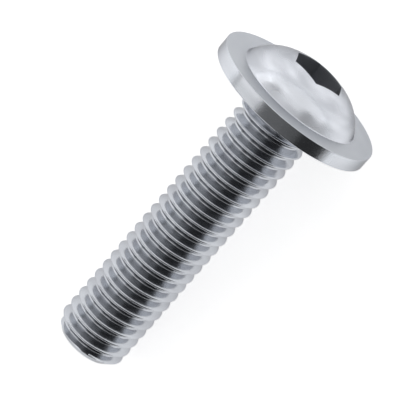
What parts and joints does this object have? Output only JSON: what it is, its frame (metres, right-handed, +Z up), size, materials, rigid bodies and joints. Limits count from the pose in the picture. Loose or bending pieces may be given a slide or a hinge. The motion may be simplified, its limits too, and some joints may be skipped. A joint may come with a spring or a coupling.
{
  "type": "button head screw",
  "caption": "Domed button head screw with a round flange under the head, a hexagon socket and a metric thread along the whole shank.",
  "frame": {"origin": "centre of the bounding box on the surface the screw lies on", "axes": "+Z up from that surface, +X the way the head points as the screw lies, with its axis 8.84 degrees above the surface"},
  "size_m": [0.0286, 0.0136, 0.0136],
  "materials": {
    "steel": "satin"
  },
  "bodies": {
    "root": {"screw": "steel"}
  },
  "joints": []
}
